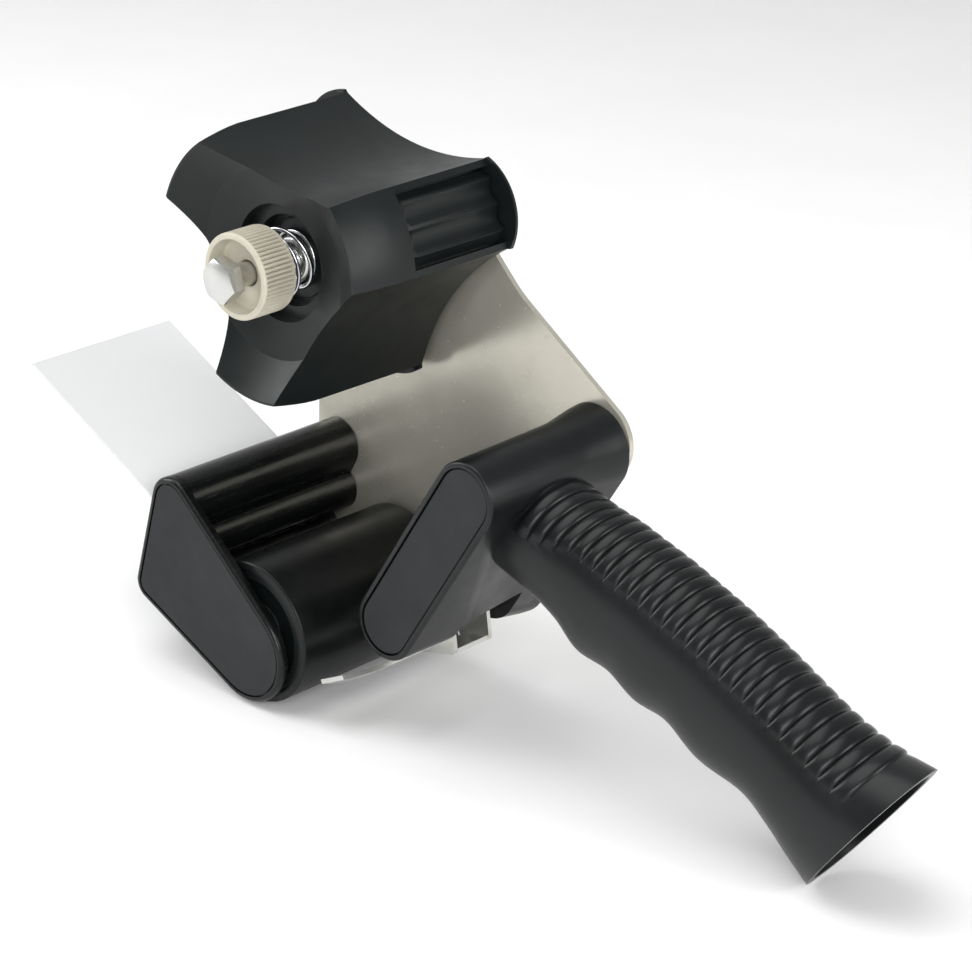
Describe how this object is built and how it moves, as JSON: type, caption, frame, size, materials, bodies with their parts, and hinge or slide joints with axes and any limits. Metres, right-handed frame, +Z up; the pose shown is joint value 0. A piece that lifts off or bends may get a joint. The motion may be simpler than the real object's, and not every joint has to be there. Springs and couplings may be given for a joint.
{
  "type": "tape gun dispenser",
  "caption": "Hand-held dispenser for packing tape: a braked core hub and an application roller on a steel side plate, a moulded front with a clear flap, and a ribbed pistol handle.",
  "frame": {"origin": "centre of the bounding box, at floor level: the gun stands on its roller and on the lower edge of its handle's open end", "axes": "+X from the clear flap to the end of the handle; -Y out of the open side, where a roll of tape goes on; +Z up"},
  "size_m": [0.2696, 0.079, 0.1472],
  "materials": {
    "gloss_black": "moulded, polished",
    "satin_black": "moulded, satin",
    "matte_grey": "fine matt texture",
    "roller_black": "smooth",
    "plate_steel": "polished plate",
    "zinc": "bright zinc plating",
    "spring_steel": "bright drawn wire",
    "beige": "moulded, satin",
    "nylon": "natural",
    "clear": "clear flexible sheet"
  },
  "bodies": {
    "frame": {"side_plate": "plate_steel", "front_body": "gloss_black", "end_cover": "gloss_black", "cover_plate": "matte_grey", "cover_screw_1": "zinc", "cover_screw_2": "zinc", "cutting_blade": "zinc", "roller_axle": "zinc", "roller_spacer": "nylon", "tongue_spring": "spring_steel", "tongue_pin": "zinc", "handle_housing": "satin_black", "housing_cap": "matte_grey", "front_body_screw_1": "zinc", "front_body_screw_2": "zinc", "housing_screw_1": "zinc", "housing_screw_2": "zinc", "hub_spacer": "nylon", "spindle_bolt": "zinc", "spindle_washer": "zinc", "spindle_nut": "zinc", "brake_washer": "satin_black", "tension_spring": "spring_steel"},
    "hub": {"hub_body": "satin_black", "core_grip_pad_1": "satin_black", "core_grip_pad_2": "satin_black", "core_grip_pad_3": "satin_black", "hub_bush": "zinc"},
    "roller": {"roller_sleeve": "roller_black", "roller_core": "satin_black", "roller_bush_near": "nylon", "roller_bush_far": "nylon"},
    "knob_travel": {"spring_seat_washer": "zinc"},
    "knob": {"tension_knob": "beige"},
    "tongue": {"tape_tongue": "zinc"},
    "flap": {"wiper_flap": "clear"}
  },
  "joints": [
    {"name": "hub_spin", "type": "hinge", "parent": "frame", "child": "hub", "pos_m": [-0.0475, -0.0015, 0.11639], "axis": [0, -1, 0], "continuous": true},
    {"name": "roller_spin", "type": "hinge", "parent": "frame", "child": "roller", "pos_m": [-0.04895, -0.0015, 0.0189], "axis": [0, -1, 0], "continuous": true},
    {"name": "knob_travel", "type": "slide", "parent": "frame", "child": "knob_travel", "axis": [0, -1, 0], "range_m": [-0.001, 0.001], "deforming": ["tension_spring"]},
    {"name": "knob_turn", "type": "hinge", "parent": "knob_travel", "child": "knob", "pos_m": [-0.0475, -0.0235, 0.11639], "axis": [0, -1, 0], "range_deg": [-360, 360]},
    {"name": "tongue_pivot", "type": "hinge", "parent": "frame", "child": "tongue", "pos_m": [-0.0103, 0.0078, 0.02823], "axis": [0, -1, 0], "range_deg": [-3, 12], "stiffness_Nm_per_rad": 0.05},
    {"name": "flap_flex", "type": "hinge", "parent": "frame", "child": "flap", "pos_m": [-0.08221, -0.0039, 0.042], "axis": [0, 1, 0], "range_deg": [-10, 12], "stiffness_Nm_per_rad": 0.06}
  ],
  "couplings": [
    {"joint": "knob_turn", "follows": "knob_travel", "rad_per_m": 6283.2}
  ]
}
